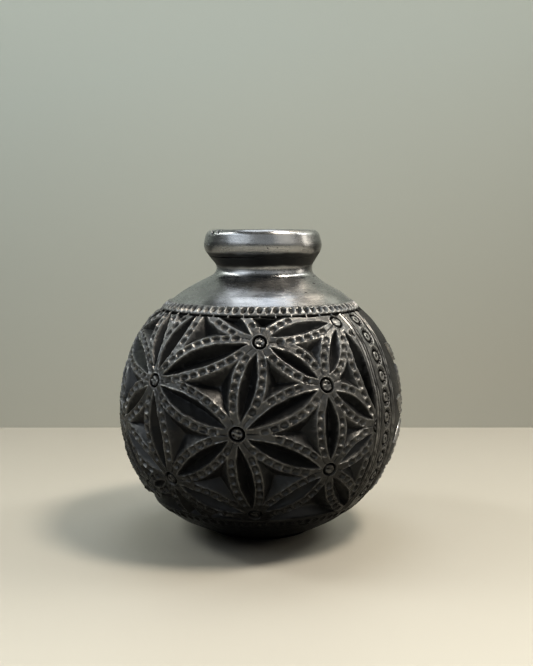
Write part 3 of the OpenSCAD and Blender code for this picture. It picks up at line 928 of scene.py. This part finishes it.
def flower(material):
    """The boss, a ring of petals round it, and four leaves beyond the petals. Each pad is PAD_GAP short
    of its CAD node's edge."""
    boss = BOSS_R - PAD_GAP
    pad("flower_boss", (-boss, 0), 0.0, 2 * boss, round_shape(boss), boss_relief, material)
    inner = BOSS_R + 0.7
    for i in range(PETALS_ROUND):
        angle = (i + 0.5) * TAU / PETALS_ROUND
        start = (inner * math.cos(angle), inner * math.sin(angle))
        length = FLOWER_R - inner - PAD_GAP
        shape = lens(PETAL_W / 2 - PAD_GAP)
        pad(f"flower_petal_{i + 1}", start, angle, length, shape, stippled(6, 41 + i), material)
    for i in range(1, 5):
        y_side = -1 if i > 2 else 1
        z_side = -1 if i % 2 else 1
        angle = math.atan2(z_side * math.sin(LEAF_LEAN), y_side * math.cos(LEAF_LEAN))
        start = (y_side * 3.1, z_side * (FLOWER_R - 1.4))
        shape = lens(LEAF_W / 2 - PAD_GAP)
        pad(f"leaf_{i}", start, angle, LEAF_L - 3 * PAD_GAP, shape, stippled(5, 61 + i), material)


# ---- Materials ----

class Shader:
    """A node-built material with short helpers."""

    def __init__(self, name):
        self.material = bpy.data.materials.new(name)
        self.material.use_nodes = True
        self.nodes = self.material.node_tree.nodes
        self.links = self.material.node_tree.links
        self.surface = self.nodes["Principled BSDF"]
        self.place = self.nodes.new("ShaderNodeTexCoord").outputs["Object"]

    def put(self, value, socket):
        if isinstance(value, (int, float)):
            socket.default_value = value
        elif isinstance(value, tuple):
            socket.default_value = (*value, 1.0)
        else:
            self.links.new(value, socket)

    def stretch(self, x, y, z):
        node = self.nodes.new("ShaderNodeMapping")
        self.links.new(self.place, node.inputs["Vector"])
        node.inputs["Scale"].default_value = (x, y, z)
        return node.outputs["Vector"]

    def noise(self, scale, detail=4.0, roughness=0.55, vector=None):
        node = self.nodes.new("ShaderNodeTexNoise")
        self.links.new(vector or self.place, node.inputs["Vector"])
        node.inputs["Scale"].default_value = scale
        node.inputs["Detail"].default_value = detail
        node.inputs["Roughness"].default_value = roughness
        return node.outputs["Fac"]

    def remap(self, value, low, high, to_low=0.0, to_high=1.0):
        node = self.nodes.new("ShaderNodeMapRange")
        self.put(value, node.inputs["Value"])
        numbers = {"From Min": low, "From Max": high, "To Min": to_low, "To Max": to_high}
        for key, number in numbers.items():
            node.inputs[key].default_value = number
        return node.outputs["Result"]

    def math(self, kind, a, b):
        node = self.nodes.new("ShaderNodeMath")
        node.operation = kind
        self.put(a, node.inputs[0])
        self.put(b, node.inputs[1])
        return node.outputs["Value"]

    def mix(self, factor, a, b):
        node = self.nodes.new("ShaderNodeMix")
        node.data_type = "RGBA"
        self.put(factor, node.inputs["Factor"])
        self.put(a, node.inputs["A"])
        self.put(b, node.inputs["B"])
        return node.outputs["Result"]

    def axis(self, letter):
        """A coordinate of the place, in metres."""
        node = self.nodes.new("ShaderNodeSeparateXYZ")
        self.links.new(self.place, node.inputs["Vector"])
        return node.outputs[letter]

    def attribute(self, name):
        node = self.nodes.new("ShaderNodeAttribute")
        node.attribute_name = name
        return node.outputs["Fac"]

    def bump(self, height, distance, before=None):
        node = self.nodes.new("ShaderNodeBump")
        node.inputs["Distance"].default_value = distance
        self.put(height, node.inputs["Height"])
        if before is not None:
            self.links.new(before, node.inputs["Normal"])
        return node.outputs["Normal"]

    def finish(self, color, metallic, roughness, normal, specular=0.5):
        self.surface.inputs["Specular IOR Level"].default_value = specular
        self.put(color, self.surface.inputs["Base Color"])
        self.put(metallic, self.surface.inputs["Metallic"])
        self.put(roughness, self.surface.inputs["Roughness"])
        self.links.new(normal, self.surface.inputs["Normal"])
        return self.material


def carved_clay(name):
    """Knife-cut black clay with a graphite sheen: rubbed ribs whose burrs are painted bright as wear and
    a painted highlight, smooth black facets, stamps and grooves painted dark as painted shade. It is
    painted darker towards the foot as painted shade."""
    s = Shader(name)
    painted_low_shade = s.remap(s.axis("Z"), 0.095, 0.02, 0.0, 0.85)
    cut, black, worn = s.attribute("cut"), s.attribute("black"), s.attribute("worn")
    cloud = s.noise(90, 5)
    speck = s.remap(s.noise(1100, 3), 0.60, 0.72)
    streak = s.noise(260, 3, vector=s.stretch(1, 1, 3.2))
    rib = s.mix(s.remap(cloud, 0.35, 0.65), (0.072, 0.072, 0.072), (0.137, 0.136, 0.133))
    rib = s.mix(s.math("MULTIPLY", speck, 0.5), rib, (0.22, 0.215, 0.205))
    # Wear and a painted highlight: burrs, dent rims and heels are painted bright.
    rib = s.mix(s.math("MULTIPLY", worn, 0.5), rib, (0.55, 0.54, 0.52))
    facet = s.mix(s.remap(streak, 0.3, 0.7), (0.0015, 0.0016, 0.0018), (0.006, 0.0063, 0.007))
    color = s.mix(cut, rib, facet)
    # Painted shade: the dark marks, and the lower body darker towards the foot, are painted near black.
    color = s.mix(s.math("MAXIMUM", black, painted_low_shade), color, (0.0015, 0.0015, 0.0015))
    rough = s.math("ADD", s.remap(cloud, 0.3, 0.7, 0.36, 0.46), s.math("MULTIPLY", cut, 0.02))
    rough = s.math("ADD", rough, s.remap(s.noise(700, 2), 0.3, 0.7, -0.06, 0.08))
    rough = s.math("ADD", rough, s.math("MULTIPLY", black, 0.4))
    rough = s.math("SUBTRACT", rough, s.math("MULTIPLY", worn, 0.08))
    uneven = s.remap(cut, 0.0, 1.0, 1.0, 0.2)
    normal = s.bump(s.math("MULTIPLY", s.noise(420, 4), uneven), 0.00028)
    normal = s.bump(s.math("MULTIPLY", s.noise(2200, 3), uneven), 0.00007, normal)
    sheen = s.remap(cut, 0.0, 1.0, 0.85, 0.0)
    return s.finish(color, sheen, rough, normal, 0.32)


def burnished_clay(name):
    """Clay rubbed with a stone to a graphite sheen, with fine scratches that run round the pot."""
    s = Shader(name)
    round_streaks = s.noise(70, 6, 0.65, s.stretch(1, 1, 14))
    fine_streaks = s.noise(190, 4, 0.6, s.stretch(1, 1, 18))
    cloud = s.noise(60, 5, 0.6)
    pits = s.remap(s.noise(420, 2), 0.72, 0.76)
    color = s.mix(s.remap(cloud, 0.35, 0.68), (0.20, 0.203, 0.208), (0.31, 0.31, 0.308))
    color = s.mix(s.remap(fine_streaks, 0.5, 0.8, 0, 0.5), color, (0.14, 0.14, 0.145))
    # Dull clay in the chips and random pits; a painted dark reflection in the band under the lip;
    # painted shade on the base disc low down.
    dull_and_painted_dark = s.math("MAXIMUM", s.attribute("black"), pits)
    dull_and_painted_dark = s.math("MAXIMUM", dull_and_painted_dark, s.remap(s.axis("Z"), 0.012, 0.004))
    color = s.mix(dull_and_painted_dark, color, (0.01, 0.01, 0.01))
    rough = s.remap(fine_streaks, 0.3, 0.7, 0.2, 0.28)
    rough = s.math("ADD", rough, s.remap(cloud, 0.35, 0.7, -0.03, 0.09))
    rough = s.math("ADD", rough, s.math("MULTIPLY", dull_and_painted_dark, 0.25))
    normal = s.bump(round_streaks, 0.00005)
    normal = s.bump(fine_streaks, 0.00002, normal)
    normal = s.bump(s.noise(240, 3), 0.00006, normal)
    return s.finish(color, 0.95, rough, normal)


def rubbed_clay(name):
    """A dented strip that was rubbed along with the shoulder: shiny between its dents."""
    s = Shader(name)
    cloud = s.noise(140, 5)
    color = s.mix(s.remap(cloud, 0.35, 0.65), (0.11, 0.11, 0.11), (0.24, 0.24, 0.235))
    # Painted shade on the dents' upper sides.
    color = s.mix(s.attribute("black"), color, (0.006, 0.006, 0.006))
    rough = s.remap(s.noise(500, 3), 0.3, 0.7, 0.34, 0.5)
    normal = s.bump(s.noise(500, 4), 0.00016)
    return s.finish(color, 0.85, rough, normal)


def relief_clay(name):
    """Applied clay left satin, with bright random specks."""
    s = Shader(name)
    cloud = s.noise(140, 5)
    speck = s.remap(s.noise(1300, 3), 0.58, 0.72)
    color = s.mix(s.remap(cloud, 0.35, 0.65), (0.10, 0.10, 0.10), (0.21, 0.208, 0.204))
    color = s.mix(s.math("MULTIPLY", speck, 0.5), color, (0.40, 0.395, 0.38))
    rough = s.remap(s.noise(500, 3), 0.3, 0.7, 0.24, 0.38)
    normal = s.bump(s.noise(500, 4), 0.00022)
    normal = s.bump(s.noise(2400, 2), 0.00005, normal)
    return s.finish(color, 0.8, rough, normal)


TABLE_BACK = 0.195  # the table's far edge, in metres


def wall_material():
    """A plain plastered wall, painted a little warmer low down and towards the right as painted warm
    light.
    """
    s = Shader("backdrop")
    # Painted warm light: warmer and a little darker low down and towards the right.
    low = s.remap(s.axis("Z"), 0.5, -0.3)
    painted_warm_light = s.math("ADD", low, s.remap(s.axis("X"), -0.8, 0.8, -0.25, 0.25))
    color = s.mix(painted_warm_light, (0.445, 0.475, 0.435), (0.475, 0.455, 0.38))
    color = s.mix(s.remap(s.noise(2, 3), 0.3, 0.7, 0, 0.06), color, (0.40, 0.40, 0.36))
    normal = s.bump(s.noise(300, 3), 0.0001)
    return s.finish(color, 0.0, 0.9, normal)


def table_material():
    """A pale satin table top, painted a little darker towards its far edge as painted shade."""
    s = Shader("table")
    # Painted shade: the colour darkens towards the far edge.
    far = s.remap(s.axis("Y"), -0.30, 0.19)
    near_color = s.mix(s.remap(s.noise(3, 3), 0.3, 0.7), (0.565, 0.545, 0.49), (0.595, 0.575, 0.515))
    color = s.mix(far, near_color, (0.415, 0.38, 0.325))
    normal = s.bump(s.noise(900, 3), 0.00003)
    return s.finish(color, 0.0, 0.5, normal)


# ---- Stage, light and camera, in metres ----

POT = (0, 0, 0.06)
# Name, place, target, size, watts and colour of each light
LIGHTS = [
    ("sun_side", (0.40, -0.12, 0.93), POT, (0.22, 0.22), 8.8, (1.0, 0.9, 0.77)),
    ("sun_back", (0.42, 0.50, 0.92), POT, (0.25, 0.25), 0.45, (1.0, 0.88, 0.72)),
    ("sky_above", (-0.04, 0.46, 1.4), POT, (0.8, 0.7), 4.8, (0.87, 0.93, 1.0)),
    ("front_above", (-0.1, -1.6, 0.9), POT, (2.6, 1.3), 4.2, (0.9, 0.95, 1.0)),
    ("front_left", (-1.2, -0.95, 0.8), POT, (1.4, 1.1), 4.6, (0.88, 0.94, 1.0)),
    ("front_right", (1.2, -1.0, 0.8), POT, (1.2, 1.0), 3.0, (1.0, 0.97, 0.92)),
    ("window_left", (-1.0, -0.35, 0.95), POT, (1.2, 0.6), 3.5, (0.84, 0.92, 1.0)),
    ("window_right", (1.15, 0.1, 0.4), POT, (0.4, 0.6), 2.1, (1.0, 0.93, 0.82)),
    ("wall_wash_left", (-2.3, 0.7, 2.0), (-1.5, 1.7, 1.4), (2.4, 0.6), 41.0, (0.97, 1.0, 0.97)),
    ("wall_wash_right", (2.3, 0.7, 2.0), (1.5, 1.7, 1.4), (2.4, 0.6), 42.0, (1.0, 1.0, 0.95)),
    ("wall_foot", (0.0, 0.9, -1.0), (0, 1.5, 0.1), (3.4, 0.5), 6.8, (1.0, 0.98, 0.93)),
]
WORLD_COLOR = (0.48, 0.5, 0.48, 1)
WORLD_STRENGTH = 0.26
CAMERA_PLACE = (0.0026, -0.3915, 0.1277)
CAMERA_DOWN = math.radians(6.43)
CAMERA_LENS = 49.85
SENSOR_WIDTH = 36.0


def stage_box(name, low, high, material):
    """A slab of the stage between two corners."""
    xs, ys, zs = zip(low, high)
    corners = [[x, y, z] for z in zs for y in ys for x in xs]
    faces = [[0, 2, 3, 1], [4, 5, 7, 6], [0, 1, 5, 4], [2, 6, 7, 3], [0, 4, 6, 2], [1, 3, 7, 5]]
    mesh = new_mesh(name, np.array(corners) / MM, np.array(faces))
    mesh.materials.append(material)
    obj = add_object(name, mesh)


def area_light(name, place, target, size, power, color):
    data = bpy.data.lights.new(name, "AREA")
    data.shape = "ELLIPSE"
    data.size, data.size_y = size
    data.energy = power
    data.color = color
    obj = add_object(name, data)
    obj.location = place
    obj.rotation_euler = (Vector(target) - Vector(place)).to_track_quat("-Z", "Y").to_euler()


def build_stage():
    """A table in front of a plain wall, soft lights and a dim world."""
    floor = table_material()
    wall = wall_material()
    stage_box("floor", (-1.6, -2.2, -0.03), (1.6, TABLE_BACK, 0.0), floor)
    stage_box("backdrop_wall", (-4.0, 1.5, -1.8), (4.0, 1.55, 3.0), wall)
    for light in LIGHTS:
        area_light(*light)
    scene = bpy.context.scene
    world = bpy.data.worlds.new("studio")
    world.use_nodes = True
    background = world.node_tree.nodes["Background"]
    background.inputs["Color"].default_value = WORLD_COLOR
    background.inputs["Strength"].default_value = WORLD_STRENGTH
    scene.world = world
    scene.view_settings.view_transform = "Standard"
    scene.view_settings.look = "Medium High Contrast"


def build_camera():
    """At the height of the lip, close to the pot and looking a little down."""
    data = bpy.data.cameras.new("camera")
    data.lens = CAMERA_LENS
    data.sensor_width = SENSOR_WIDTH
    camera = add_object("camera", data)
    camera.location = CAMERA_PLACE
    camera.rotation_euler = (math.pi / 2 - CAMERA_DOWN, 0, 0)
    bpy.context.scene.camera = camera


def build():
    """Every piece of the pot on its stage. base_disc keeps its CAD mesh."""
    build_camera()
    build_stage()
    carved = carved_clay("carved black clay")
    burnished = burnished_clay("burnished black clay")
    relief = relief_clay("relief clay")
    rubbed = rubbed_clay("rubbed strip clay")
    bowl("lower_bowl", BASE_SEAM_Z, BOWL_SEAM_Z, BASE_SEAM_CLIMB, BOWL_SEAM_CLIMB, carved)
    bowl("upper_bowl", BOWL_SEAM_Z, SHOULDER_SEAM_Z, BOWL_SEAM_CLIMB, SHOULDER_SEAM_CLIMB, carved)
    turned_pieces(burnished)
    cordon("upper_cordon", CORDON_TOP_LAT, CORDON_TOP_FOOT, CORDON_TOP_DENTS, rubbed)
    cordon("lower_cordon", CORDON_LOW_LAT, CORDON_LOW_FOOT, CORDON_LOW_DENTS, carved)
    rosette_band("rosette_band_front", BAND_AZ, 1, 81, carved)
    rosette_band("rosette_band_back", math.pi - BAND_AZ, -1, 91, carved)
    flower(relief)
    disc_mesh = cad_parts["base_disc"].data
    disc_mesh.materials.clear()
    disc_mesh.materials.append(burnished)


build()
